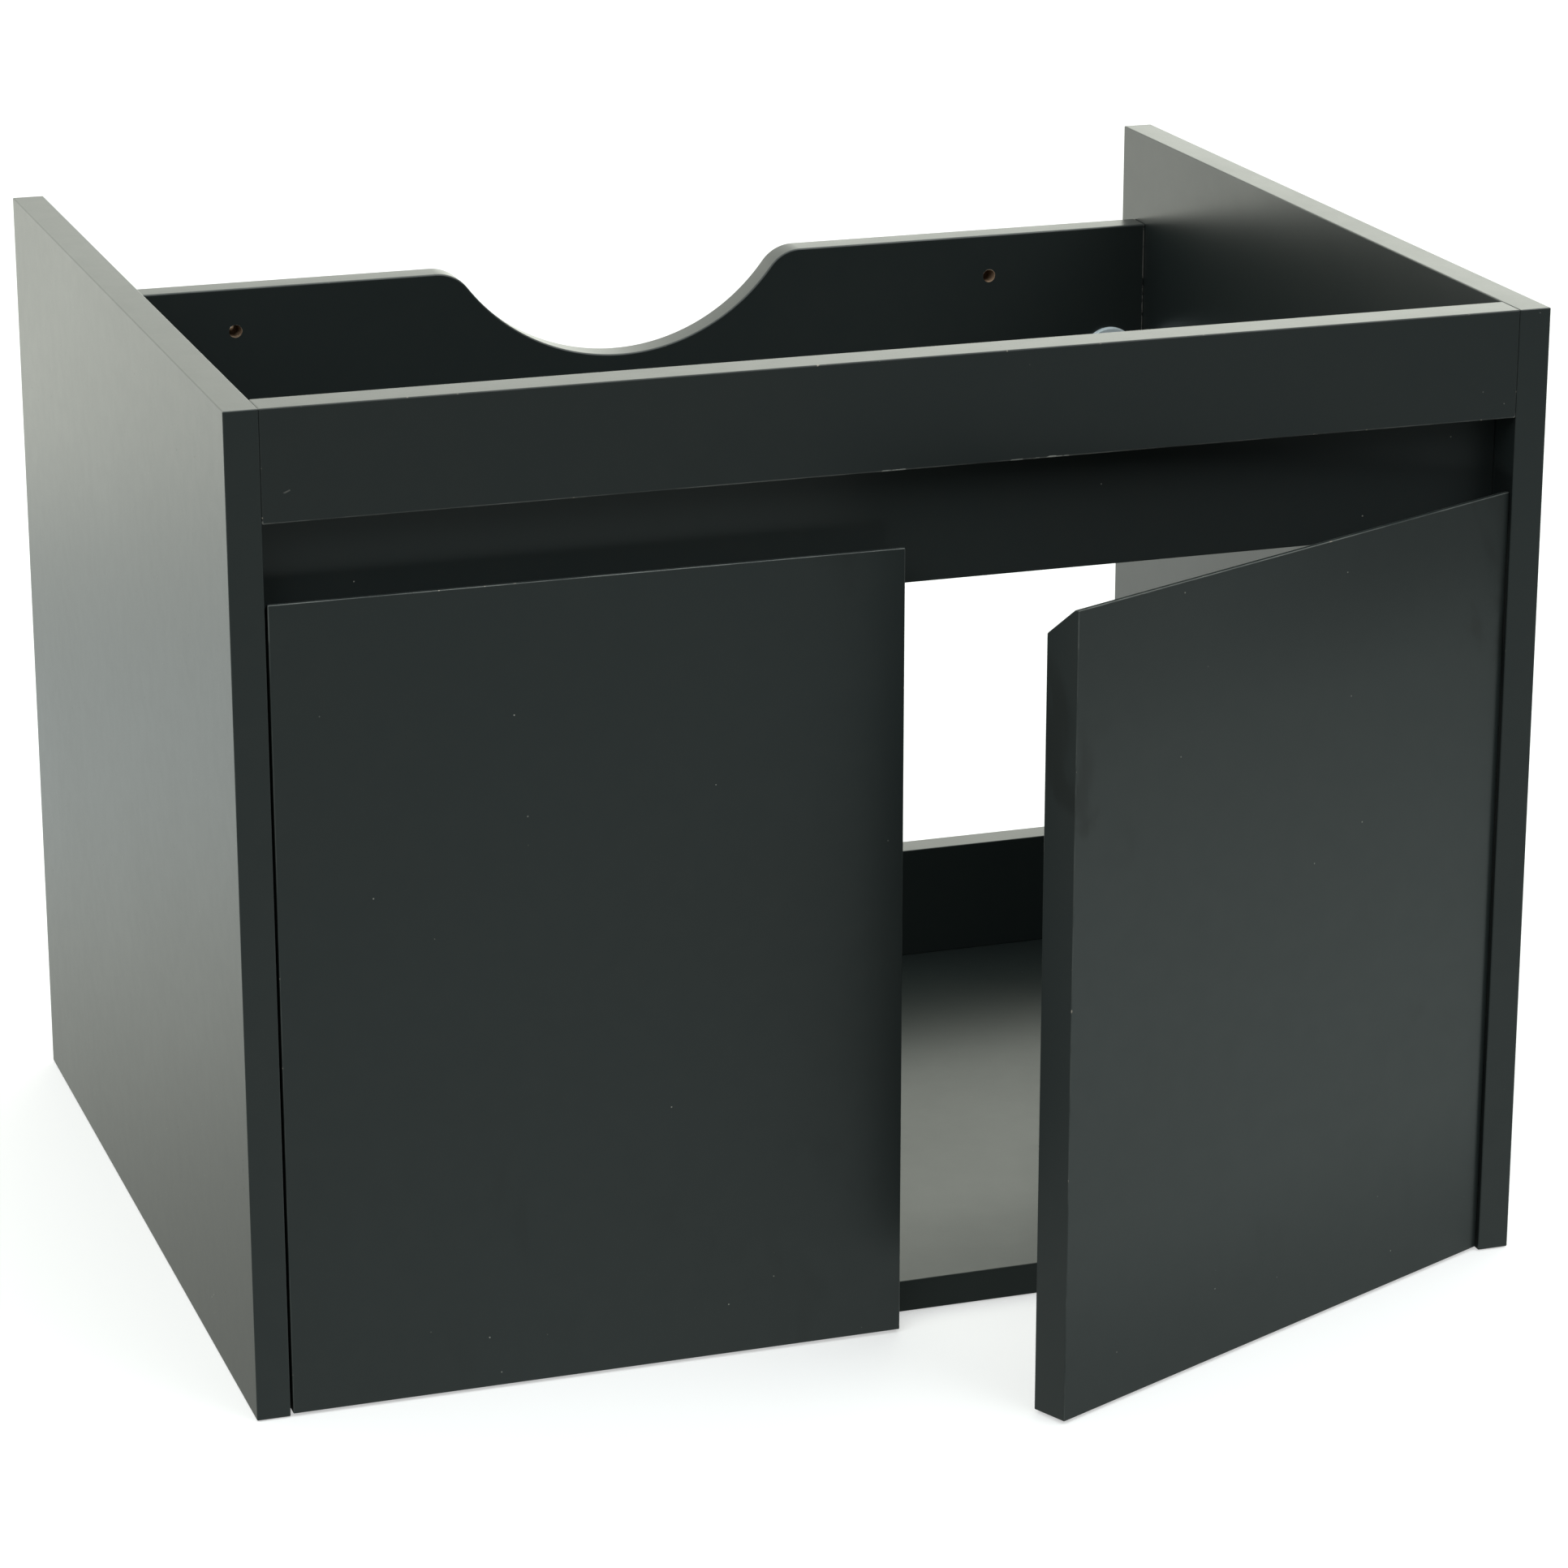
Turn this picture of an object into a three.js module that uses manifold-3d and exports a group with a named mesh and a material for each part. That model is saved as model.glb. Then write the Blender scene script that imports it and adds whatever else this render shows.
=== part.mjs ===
// Wall-hung two-door base cabinet for a washbasin, in millimetres, +Z up.
// Origin: centre of the carcass footprint, on the underside of the bottom panel.
// The doors face -Y, the wall side is +Y, and +X is to the right as seen from the front.
import * as THREE from 'three';
import { mergeVertices } from 'three/addons/utils/BufferGeometryUtils.js';
import Module from 'manifold-3d';

const wasm = await Module();
wasm.setup();

// ---------------------------------------------------------------- dimensions
const W = 600;                 // overall width
const D = 460;                 // overall depth
const H = 450;                 // overall height
const BOARD = 15;              // carcass board
const FRONT = 18;              // fascia and door board
const FASCIA_Z0 = 401;         // underside of the fascia
const RECESS_Y = 19.5;         // front of the set-back board behind fascia and doors
const RECESS_Z0 = 345, RECESS_Z1 = 425;
const BOTTOM_Y = 20;           // front edge of the bottom panel
const RAIL_Y1 = 444;           // rear face of both back rails (16 mm in from the wall side)
const UPPER_Z0 = 284, UPPER_Z1 = 404;
const LOWER_Z1 = 74;
const NOTCH_R = 100, NOTCH_Z = 456.4, NOTCH_FILLET = 20;   // trap cut-out
const WALL_HOLE_X = 198.4, WALL_HOLE_Z = 382.6, WALL_HOLE_R = 3.25;
const DISC_X = 265.8, DISC_Z = 335.8;                      // connector housings
const DISC_R = 15, DISC_PROUD = 2.2, BARREL_R = 12.5, BARREL_L = 10.5;
const DOOR_W = 280, DOOR_Z0 = 1.0, DOOR_Z1 = 366.5;
const DOOR_GAP = 1.5;          // door edge to side panel
const DOOR_LAND = 2.2, BEVEL_DROP = 13.2;                  // finger pull along the top edge
const EDGE = 1.0;              // broken corners of the doors and fascia
const OPEN_DEG = 24.8;         // the right door stands open by this much
// concealed hinges: every point below is (u, v) with the door closed, where u runs across from the
// side panel's inner face and v runs back from the cabinet's front plane
const CUP_A = 21.5, CUP_R = 17.3, CUP_BORE = 17.6, CUP_FLOOR = 6.2, CUP_CAVITY = 15.9;
const HINGE_Z = { upper: 276, lower: 92 };
const ARM_A = [43.4, 23.4], CUP_C = [13.6, 10.2], OUTER_TURN = -0.29;   // outer link: its two pivots, and turn per turn of the door
const ARM_B = [45.0, 30.4], INNER_TURN = -0.41;   // inner link
const ARM_WEB = [[48.4, 20.3], [48.4, 34.0], [39.5, 47.0], [20.0, 53.5], [12.4, 60.0], [12.4, 95.0]];  // outer face of the arm's web
const ARM_DEPTH = 8.4, ARM_SCREW_V = 78;
const OUTER_LINE = [ARM_A, [35.5, 21.2], [30.0, 13.0], [25.4, 9.9], CUP_C];   // links are hooked to clear the door's edge
const INNER_LINE = [ARM_B, [38.5, 30.2], [30.0, 24.5], [22.0, 17.5], [15.5, 15.8]];
const PLATE_V = 57;            // mounting plate screws: 37 mm behind the door's back

const SIDES = { left: 1, right: -1 };
const wallX = (side) => (side === 'left' ? -W / 2 + BOARD : W / 2 - BOARD);
const Y0 = -D / 2;             // front plane

// ---------------------------------------------------------------- materials
const mat = (hex, roughness, metalness, extra = {}) =>
  new THREE.MeshStandardMaterial({ color: hex, roughness, metalness, ...extra });
const M = {
  board: mat(0x2b3133, 0.45, 0.0),
  steel: mat(0xb9bcbe, 0.3, 1.0),
  cup: mat(0xa9adaf, 0.35, 1.0),
  screw: mat(0xc6c8c9, 0.32, 1.0),
  housing: mat(0xc9d3d8, 0.4, 0.0),
  bumper: mat(0xdfe3e4, 0.35, 0.0, { transparent: true, opacity: 0.6 }),
};

// ---------------------------------------------------------------- geometry helpers
const clean = (g) => {
  const c = g.index ? g.clone() : g.clone();
  c.deleteAttribute('normal');
  c.deleteAttribute('uv');
  return mergeVertices(c, 1e-4);
};
const solid = (g) => {
  const c = clean(g);
  return new wasm.Manifold(new wasm.Mesh({
    numProp: 3,
    vertProperties: new Float32Array(c.attributes.position.array),
    triVerts: new Uint32Array(c.index.array),
  }));
};
const back = (m) => {
  const r = m.getMesh();
  const g = new THREE.BufferGeometry();
  const n = r.numProp, v = r.vertProperties, out = new Float32Array((v.length / n) * 3);
  for (let i = 0; i < v.length / n; i++) for (let k = 0; k < 3; k++) out[3 * i + k] = v[n * i + k];
  g.setAttribute('position', new THREE.BufferAttribute(out, 3));
  g.setIndex(new THREE.BufferAttribute(new Uint32Array(r.triVerts), 1));
  g.computeVertexNormals();
  return g;
};
const cut = (g, ...tools) => back(tools.reduce((a, t) => a.subtract(solid(t)), solid(g)));
const join = (g, ...more) => back(more.reduce((a, t) => a.add(solid(t)), solid(g)));

const box = (x0, x1, y0, y1, z0, z1) =>
  new THREE.BoxGeometry(x1 - x0, y1 - y0, z1 - z0)
    .translate((x0 + x1) / 2, (y0 + y1) / 2, (z0 + z1) / 2);

const AXES = {
  x: [[0, 1, 0], [0, 0, 1], [1, 0, 0]],   // points are (y, z)
  y: [[1, 0, 0], [0, 0, 1], [0, -1, 0]],  // points are (x, z), drawn towards -y
  z: [[1, 0, 0], [0, 1, 0], [0, 0, 1]],   // points are (x, y)
};
// prism of a closed outline between two stations a < b on an axis
const prism = (pts, axis, a, b, curveSegments = 12) => {
  const shape = pts instanceof THREE.Shape ? pts : new THREE.Shape(pts.map(([p, q]) => new THREE.Vector2(p, q)));
  const g = new THREE.ExtrudeGeometry(shape, { depth: b - a, bevelEnabled: false, curveSegments, steps: 1 });
  const [ex, ey, ez] = AXES[axis].map((v) => new THREE.Vector3(...v));
  g.applyMatrix4(new THREE.Matrix4().makeBasis(ex, ey, ez));
  const s = axis === 'y' ? -1 : 1;
  const shift = axis === 'y' ? b : a;
  return g.translate(ez.x * s * shift, ez.y * s * shift, ez.z * s * shift);
};
// cylinder along an axis between two stations, its centre at (p, q) in the other two
const cyl = (axis, r, a, b, p, q, seg = 32, r2 = r) => {
  const g = new THREE.CylinderGeometry(r2, r, b - a, seg, 1);   // along +Y, r at the start
  g.translate(0, (a + b) / 2, 0);
  if (axis === 'x') return g.rotateZ(-Math.PI / 2).translate(0, p, q);
  if (axis === 'y') return g.translate(p, 0, q);
  return g.rotateX(Math.PI / 2).translate(p, q, 0);
};
// closed strip of even thickness along a polyline
const ribbon = (pts, t) => {
  const L = [], R = [];
  const n = pts.length;
  for (let i = 0; i < n; i++) {
    const d0 = i > 0 ? [pts[i][0] - pts[i - 1][0], pts[i][1] - pts[i - 1][1]] : null;
    const d1 = i < n - 1 ? [pts[i + 1][0] - pts[i][0], pts[i + 1][1] - pts[i][1]] : null;
    const u = (d) => { const l = Math.hypot(...d); return [d[0] / l, d[1] / l]; };
    const a = u(d0 ?? d1), b = u(d1 ?? d0);
    let nx = -(a[1] + b[1]), ny = a[0] + b[0];
    const l = Math.hypot(nx, ny); nx /= l; ny /= l;
    const k = (t / 2) / (nx * -a[1] + ny * a[0]);
    L.push([pts[i][0] + nx * k, pts[i][1] + ny * k]);
    R.push([pts[i][0] - nx * k, pts[i][1] - ny * k]);
  }
  return [...L, ...R.reverse()];
};
const mesh = (name, geometry, material) => {
  const m = new THREE.Mesh(geometry, material);
  m.name = name;
  return m;
};

const cabinet = new THREE.Group();
cabinet.name = 'cabinet';

// ---------------------------------------------------------------- carcass
const X0 = -W / 2, X1 = W / 2, IN = W / 2 - BOARD;

// side panels, each with the small bores for its fittings
for (const side of ['left', 'right']) {
  const s = SIDES[side];
  const a = side === 'left' ? X0 : IN, b = side === 'left' ? -IN : X1;
  const face = wallX(side);
  const tools = [];
  const into = (r, depth, y, z, seg) => {
    const lo = side === 'left' ? face - depth : face - 0.5;
    const hi = side === 'left' ? face + 0.5 : face + depth;
    tools.push(cyl('x', r, lo, hi, y, z, seg));
  };
  for (const z of Object.values(HINGE_Z)) for (const dz of [-16, 16]) into(2.5, 11.3, Y0 + PLATE_V, z + dz, 16);
  into(2.6, 11.3, Y0 + RAIL_Y1 - BOARD / 2, DISC_Z, 16);
  cabinet.add(mesh(`side_panel_${side}`, cut(box(a, b, Y0, Y0 + D, 0, H), ...tools), M.board));
}

cabinet.add(mesh('bottom_panel', box(-IN, IN, Y0 + BOTTOM_Y, Y0 + D, 0, BOARD), M.board));
cabinet.add(mesh('back_rail_lower', box(-IN, IN, Y0 + RAIL_Y1 - BOARD, Y0 + RAIL_Y1, BOARD, LOWER_Z1), M.board));

// upper back rail: rounded trap cut-out, two wall-screw holes, two blind connector bores
{
  // fillet circle centres sit NOTCH_FILLET below the top edge, touching the cut-out from outside
  const fz = UPPER_Z1 - NOTCH_FILLET;
  const fx = Math.sqrt((NOTCH_R + NOTCH_FILLET) ** 2 - (NOTCH_Z - fz) ** 2);
  const half = [];
  const a0 = Math.atan2(fz - NOTCH_Z, fx);                 // touch point direction from the cut-out's centre
  const n1 = 26, n2 = 8;
  for (let i = 0; i <= n1; i++) {
    const a = -Math.PI / 2 + (a0 + Math.PI / 2) * (i / n1);
    half.push([NOTCH_R * Math.cos(a), NOTCH_Z + NOTCH_R * Math.sin(a)]);
  }
  const b0 = Math.atan2(NOTCH_Z - fz, -fx);
  for (let i = 1; i <= n2; i++) {
    const a = b0 + (Math.PI / 2 - b0) * (i / n2);
    half.push([fx + NOTCH_FILLET * Math.cos(a), fz + NOTCH_FILLET * Math.sin(a)]);
  }
  const pts = [];
  for (let i = half.length - 1; i >= 1; i--) pts.push([-half[i][0], half[i][1]]);
  pts.push(...half, [IN, UPPER_Z1], [IN, UPPER_Z0], [-IN, UPPER_Z0], [-IN, UPPER_Z1]);
  const y0 = Y0 + RAIL_Y1 - BOARD, y1 = Y0 + RAIL_Y1;
  const g = prism(pts, 'y', y0, y1);
  const tools = [];
  for (const s of [-1, 1]) {
    tools.push(cyl('y', WALL_HOLE_R, y0 - 1, y1 + 1, s * WALL_HOLE_X, WALL_HOLE_Z, 28));
    tools.push(cyl('y', BARREL_R + 0.1, y0 - 1, y0 + BARREL_L + 0.4, s * DISC_X, DISC_Z, 40));
    // cross bore for the connector's bolt
    const bx = s > 0 ? [DISC_X, IN + 1] : [-IN - 1, -DISC_X];
    tools.push(cyl('x', 3.6, bx[0], bx[1], y0 + BOARD / 2, DISC_Z, 16));
  }
  cabinet.add(mesh('back_rail_upper', cut(g, ...tools), M.board));
}

// fascia between the sides, its front edges slightly broken
{
  const e = EDGE * 0.6;
  const y0 = Y0, y1 = Y0 + FRONT, z0 = FASCIA_Z0, z1 = H;
  cabinet.add(mesh('front_fascia', prism([
    [y0 + e, z0], [y1, z0], [y1, z1], [y0 + e, z1], [y0, z1 - e], [y0, z0 + e],
  ], 'x', -IN, IN), M.board));
}
cabinet.add(mesh('recess_rail', box(-IN, IN, Y0 + RECESS_Y, Y0 + RECESS_Y + BOARD, RECESS_Z0, RECESS_Z1), M.board));


// ---------------------------------------------------------------- doors and hinges
const rad = THREE.MathUtils.degToRad;
const offsetLine = (pts, d) => {
  const r = ribbon(pts, 2 * Math.abs(d));
  return d > 0 ? r.slice(0, pts.length) : r.slice(pts.length).reverse();
};
// plate of an outline in (u, v) between two heights
const flat = (s, pts, w0, w1) => prism(pts.map(([u, v]) => [s * u, v]), 'z', w0, w1);
const pinZ = (s, [u, v], r, w0, w1, seg = 16) => cyl('z', r, Math.min(w0, w1), Math.max(w0, w1), s * u, v, seg);
// a flat link with round ends: a capsule along a polyline
const capsule = (pts, r, n = 5) => {
  const L = offsetLine(pts, r), R = offsetLine(pts, -r);
  const cap = (c, from, to) => {
    const a0 = Math.atan2(from[1] - c[1], from[0] - c[0]);
    let a1 = Math.atan2(to[1] - c[1], to[0] - c[0]);
    while (a1 > a0) a1 -= 2 * Math.PI;
    const out = [];
    for (let i = 1; i < n; i++) { const a = a0 + ((a1 - a0) * i) / n; out.push([c[0] + r * Math.cos(a), c[1] + r * Math.sin(a)]); }
    return out;
  };
  return [...L, ...cap(pts[pts.length - 1], L[L.length - 1], R[R.length - 1]), ...R.slice().reverse(), ...cap(pts[0], R[0], L[0])];
};

for (const side of ['left', 'right']) {
  const s = SIDES[side];
  const theta = side === 'right' ? rad(OPEN_DEG) : 0;
  const wall = new THREE.Group();
  wall.position.set(wallX(side), Y0, 0);
  cabinet.add(wall);

  // three turning groups: outer links on the arms, the door on the outer links, inner links on the arms
  const outer = new THREE.Group();
  outer.position.set(s * ARM_A[0], ARM_A[1], 0);
  outer.rotation.z = -s * OUTER_TURN * theta;
  const door = new THREE.Group();
  door.position.set(s * (CUP_C[0] - ARM_A[0]), CUP_C[1] - ARM_A[1], 0);
  door.rotation.z = -s * (1 - OUTER_TURN) * theta;
  const inner = new THREE.Group();
  inner.position.set(s * ARM_B[0], ARM_B[1], 0);
  inner.rotation.z = -s * INNER_TURN * theta;
  outer.add(door);
  wall.add(outer, inner);

  // everything on the door is drawn where it is with the door shut, then shifted to its pivot
  const onDoor = (name, g, m) => door.add(mesh(name, g.translate(-s * CUP_C[0], -CUP_C[1], 0), m));
  const cupU = DOOR_GAP + CUP_A;
  const screwU = cupU + 9.5;

  // door leaf: section along its width, then its plan with broken front corners
  const e = EDGE * 0.8, z0 = DOOR_Z0, z1 = DOOR_Z1, T = FRONT;
  const u0 = DOOR_GAP, u1 = DOOR_GAP + DOOR_W;
  const section = [[e, z0], [T - e, z0], [T, z0 + e], [T, z1 - BEVEL_DROP], [DOOR_LAND, z1], [e, z1], [0, z1 - e], [0, z0 + e]];
  const plan = [[u0 + e, 0], [u1 - e, 0], [u1, e], [u1, T - e], [u1 - e, T], [u0 + e, T], [u0, T - e], [u0, e]];
  let leaf = solid(prism(section, 'x', Math.min(s * u0, s * u1), Math.max(s * u0, s * u1)))
    .intersect(solid(flat(s, plan, z0 - 1, z1 + 1)));
  for (const z of Object.values(HINGE_Z)) {
    leaf = leaf.subtract(solid(cyl('y', CUP_BORE, CUP_FLOOR - 0.3, T + 1, s * cupU, z, 48)));
    for (const dz of [-22.5, 22.5]) leaf = leaf.subtract(solid(cyl('y', 1.75, 8, T + 1, s * screwU, z + dz, 12)));
  }
  onDoor(`door_${side}`, back(leaf), M.board);

  // buffers on the back of the door, near its free edge
  onDoor(`door_bumper_${side}_upper`, cyl('y', 3.5, T + 0.2, RECESS_Y - 0.15, s * (u1 - 12), 348.9, 20), M.bumper);
  onDoor(`door_bumper_${side}_lower`, cyl('y', 4.5, T + 0.2, BOTTOM_Y - 0.3, s * (u1 - 12), 8, 20, 4.0), M.bumper);

  for (const [level, z] of Object.entries(HINGE_Z)) {
    const id = `${side}_${level}`;

    // cup: barrel and flange, hollowed, with an open mouth towards the hinge edge
    {
      let g = solid(cyl('y', CUP_R, CUP_FLOOR, T + 0.2, s * cupU, z, 48));
      g = g.add(solid(cyl('y', 19.2, T + 0.2, T + 1.4, s * cupU, z, 48)));
      const lo = Math.min(s * (cupU - 1), s * (cupU + 15)), hi = Math.max(s * (cupU - 1), s * (cupU + 15));
      g = g.add(solid(box(lo, hi, T + 0.2, T + 1.4, z - 28.5, z + 28.5)));
      g = g.subtract(solid(cyl('y', CUP_CAVITY, CUP_FLOOR + 1.2, T + 3, s * cupU, z, 48)));
      const m0 = Math.min(s * (cupU - 20), s * (cupU - 8)), m1 = Math.max(s * (cupU - 20), s * (cupU - 8));
      g = g.subtract(solid(box(m0, m1, 14.5, T + 3, z - 8.6, z + 8.6)));
      for (const dz of [-22.5, 22.5]) g = g.subtract(solid(cyl('y', 1.95, T - 1, T + 3, s * screwU, z + dz, 16)));
      onDoor(`hinge_cup_${id}`, back(g), M.cup);
    }
    for (const [k, dz] of [['a', 22.5], ['b', -22.5]]) {
      onDoor(`cup_screw_${id}_${k}`, join(
        cyl('y', 1.5, 8.6, T + 1.7, s * screwU, z + dz, 12),
        cyl('y', 3.6, T + 1.6, T + 3.0, s * screwU, z + dz, 20, 2.6)), M.screw);
    }

    // outer link: two cheeks on one pin through the arm, with short pins towards the cup's walls
    {
      const rel = ([u, v]) => [s * (u - ARM_A[0]), v - ARM_A[1]];
      const line = OUTER_LINE.map(rel);
      const a = rel(ARM_A), c = rel(CUP_C);
      let g = solid(cyl('z', 1.5, z - 9.3, z + 9.3, a[0], a[1], 16));
      for (const q of [-1, 1]) {
        g = g.add(solid(prism(capsule(line, 1.7), 'z', q > 0 ? z + 4.2 : z - 6.2, q > 0 ? z + 6.2 : z - 4.2)));
        g = g.add(solid(cyl('z', 1.3, q > 0 ? z + 4.2 : z - 11.2, q > 0 ? z + 11.2 : z - 4.2, c[0], c[1], 14)));
      }
      outer.add(mesh(`hinge_outer_link_${id}`, back(g), M.steel));
    }
    // inner link: one bar between the cheeks; its cup end is the open pivot
    {
      const rel = ([u, v]) => [s * (u - ARM_B[0]), v - ARM_B[1]];
      const line = INNER_LINE.map(rel);
      let g = solid(prism(capsule(line, 1.6), 'z', z - 3.4, z + 3.4));
      g = g.add(solid(cyl('z', 1.5, z - 9.3, z + 9.3, 0, 0, 16)));
      inner.add(mesh(`hinge_inner_link_${id}`, back(g), M.steel));
    }

    // arm: a cranked channel that opens towards the side panel
    {
      const web = ARM_WEB.map(([u, v]) => [u, v]);
      const far = offsetLine(web, ARM_DEPTH);
      const inFar = offsetLine(web, ARM_DEPTH + 4), inNear = offsetLine(web, 1.5);
      const ext = (l) => { // run the cavity past both ends
        const a = l[0], b = l[1], y = l[l.length - 2], w = l[l.length - 1];
        const n0 = Math.hypot(a[0] - b[0], a[1] - b[1]), n1 = Math.hypot(w[0] - y[0], w[1] - y[1]);
        return [[a[0] + (a[0] - b[0]) / n0 * 3, a[1] + (a[1] - b[1]) / n0 * 3], ...l.slice(1, -1),
          [w[0] + (w[0] - y[0]) / n1 * 3, w[1] + (w[1] - y[1]) / n1 * 3]];
      };
      let g = solid(flat(s, [...web, ...far.slice().reverse()], z - 8.8, z + 8.8));
      g = g.subtract(solid(flat(s, [...ext(inNear), ...ext(inFar).reverse()], z - 7.2, z + 7.2)));
      for (const p of [ARM_A, ARM_B]) g = g.subtract(solid(pinZ(s, p, 1.62, z - 12, z + 12, 16)));
      const xs = [s * 8, s * 20];
      g = g.subtract(solid(cyl('x', 2.8, Math.min(...xs), Math.max(...xs), ARM_SCREW_V, z, 20)));
      wall.add(mesh(`hinge_arm_${id}`, back(g), M.steel));
    }
    {
      const xs = (a, b) => [Math.min(s * a, s * b), Math.max(s * a, s * b)];
      // plate: base, cross wings and the bridge under the arm
      const b0 = xs(0, 2.2), b1 = xs(2.0, 10.2), b2 = xs(4, 12), b3 = xs(-1, 4);
      let g = solid(box(...b0, 47, 92, z - 9, z + 9)).add(solid(box(...b0, 50.5, 63.5, z - 22, z + 22)))
        .add(solid(box(...b1, 62, 90, z - 6.6, z + 6.6)))
        .subtract(solid(cyl('x', 2.65, ...b2, ARM_SCREW_V, z, 20)));
      for (const dz of [-16, 16]) g = g.subtract(solid(cyl('x', 2.7, ...b3, PLATE_V, z + dz, 20)));
      wall.add(mesh(`hinge_plate_${id}`, back(g), M.cup));
      const sh = xs(4.4, 12.6), hd = xs(12.4, 14.3);
      wall.add(mesh(`arm_screw_${id}`, join(cyl('x', 2.4, ...sh, ARM_SCREW_V, z, 16), cyl('x', 4.4, ...hd, ARM_SCREW_V, z, 24)), M.screw));
      for (const [k, dz] of [['a', 16], ['b', -16]]) {
        const ps = xs(-11, 2.4), ph = xs(2.2, 4.3);
        wall.add(mesh(`plate_screw_${id}_${k}`, join(cyl('x', 2.2, ...ps, PLATE_V, z + dz, 16), cyl('x', 3.7, ...ph, PLATE_V, z + dz, 24)), M.screw));
      }
    }
  }

  // connector between the upper back rail and the side panel
  {
    const yf = RAIL_Y1 - BOARD;                 // rail's front face
    const u = IN - DISC_X;                      // from the side panel's face
    const cb = [Math.min(s * -1, s * (u + 4)), Math.max(s * -1, s * (u + 4))];
    const lip = cyl('y', DISC_R, yf - DISC_PROUD + 0.6, yf, s * u, DISC_Z, 48);
    const top = cyl('y', DISC_R - 0.7, yf - DISC_PROUD, yf - DISC_PROUD + 0.7, s * u, DISC_Z, 48, DISC_R);
    const barrel = cyl('y', BARREL_R, yf - 0.4, yf + BARREL_L, s * u, DISC_Z, 40);
    const g = join(barrel, lip, top);
    wall.add(mesh(`connector_housing_${side}`, cut(g, cyl('x', 3.7, ...cb, yf + BOARD / 2, DISC_Z, 20)), M.housing));
    const xs = (a, b) => [Math.min(s * a, s * b), Math.max(s * a, s * b)];
    wall.add(mesh(`connector_bolt_${side}`, join(
      cyl('x', 2.4, ...xs(-11, 0.5), yf + BOARD / 2, DISC_Z, 16),
      cyl('x', 3.2, ...xs(0.2, u + 3), yf + BOARD / 2, DISC_Z, 16)), M.screw));
  }
}

export default cabinet;
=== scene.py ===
# Looks of a wall-hung, two-door washbasin base cabinet in satin anthracite paint.
# Lengths in the tables below are millimetres in the part's own frame: origin at the centre of the
# carcass footprint, +Z up, doors towards -Y, wall side +Y.
import math
import bpy
import bmesh
from mathutils import Vector, Matrix


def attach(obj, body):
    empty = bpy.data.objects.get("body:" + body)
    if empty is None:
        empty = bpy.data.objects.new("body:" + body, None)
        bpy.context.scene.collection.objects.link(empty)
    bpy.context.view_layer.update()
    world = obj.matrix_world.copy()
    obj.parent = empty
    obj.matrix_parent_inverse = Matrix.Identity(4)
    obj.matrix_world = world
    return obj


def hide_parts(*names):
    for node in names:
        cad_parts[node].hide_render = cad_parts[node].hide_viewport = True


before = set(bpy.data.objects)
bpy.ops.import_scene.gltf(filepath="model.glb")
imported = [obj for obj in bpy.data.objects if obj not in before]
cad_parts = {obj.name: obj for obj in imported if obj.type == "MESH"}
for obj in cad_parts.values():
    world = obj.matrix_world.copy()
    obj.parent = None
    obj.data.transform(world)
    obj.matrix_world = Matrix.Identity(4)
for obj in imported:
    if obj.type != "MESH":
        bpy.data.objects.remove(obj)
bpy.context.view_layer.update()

MM = 0.001
scene = bpy.context.scene
coll = scene.collection

# ------------------------------------------------------------------ sizes
W, D, H = 600.0, 460.0, 450.0
T = 15.0
IN = W / 2 - T
Y0 = -D / 2
FRONT = 18.0
FASCIA_Z0 = 401.0
RECESS_Y, RECESS_Z0, RECESS_Z1 = 19.5, 345.0, 425.0
BOTTOM_Y = 20.0
RAIL_Y1 = 444.0
UPPER_Z0, UPPER_Z1 = 284.0, 404.0
LOWER_Z1 = 74.0
NOTCH_R, NOTCH_Z, NOTCH_FILLET = 100.0, 456.4, 20.0
WALL_HOLE_X, WALL_HOLE_Z, WALL_HOLE_R = 198.4, 382.6, 3.25
DISC_X, DISC_Z, DISC_R, DISC_PROUD = 265.8, 335.8, 15.0, 2.2
DOOR_W, DOOR_Z0, DOOR_Z1, DOOR_GAP = 280.0, 1.0, 366.5, 1.5
DOOR_LAND, BEVEL_DROP = 2.2, 13.2
OPEN_DEG = 24.8
CUP_A, CUP_R, CUP_BORE, CUP_FLOOR, CUP_CAVITY = 21.5, 17.3, 17.6, 6.2, 15.9
HINGE_Z = {"upper": 276.0, "lower": 92.0}
ARM_A, CUP_C, OUTER_TURN = (43.4, 23.4), (13.6, 10.2), -0.29
ARM_B, INNER_TURN = (45.0, 30.4), -0.41
PLATE_V, ARM_SCREW_V = 57.0, 78.0
SIGN = {"left": 1.0, "right": -1.0}
WALL_X = {"left": -IN, "right": IN}


# ------------------------------------------------------------------ camera (made first)
cam_data = bpy.data.cameras.new("camera")
cam_data.sensor_width = 36.0
cam_data.sensor_fit = "HORIZONTAL"
cam_data.lens = 117.65
cam_data.clip_start, cam_data.clip_end = 0.05, 60.0
cam = bpy.data.objects.new("camera", cam_data)
coll.objects.link(cam)
cam.location = (-0.735, -2.226, 0.950)
cam.rotation_euler = (math.radians(90.0 - 17.99), 0.0, math.radians(-18.72))
scene.camera = cam
scene.view_settings.view_transform = "Standard"


# ------------------------------------------------------------------ node helpers
def tree(mat):
    mat.use_nodes = True
    t = mat.node_tree
    for n in list(t.nodes):
        t.nodes.remove(n)
    return t


def N(t, kind, **props):
    n = t.nodes.new(kind)
    for k, v in props.items():
        if k.startswith("in_"):
            n.inputs[k[3:].replace("_", " ")].default_value = v
        else:
            setattr(n, k, v)
    return n


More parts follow.
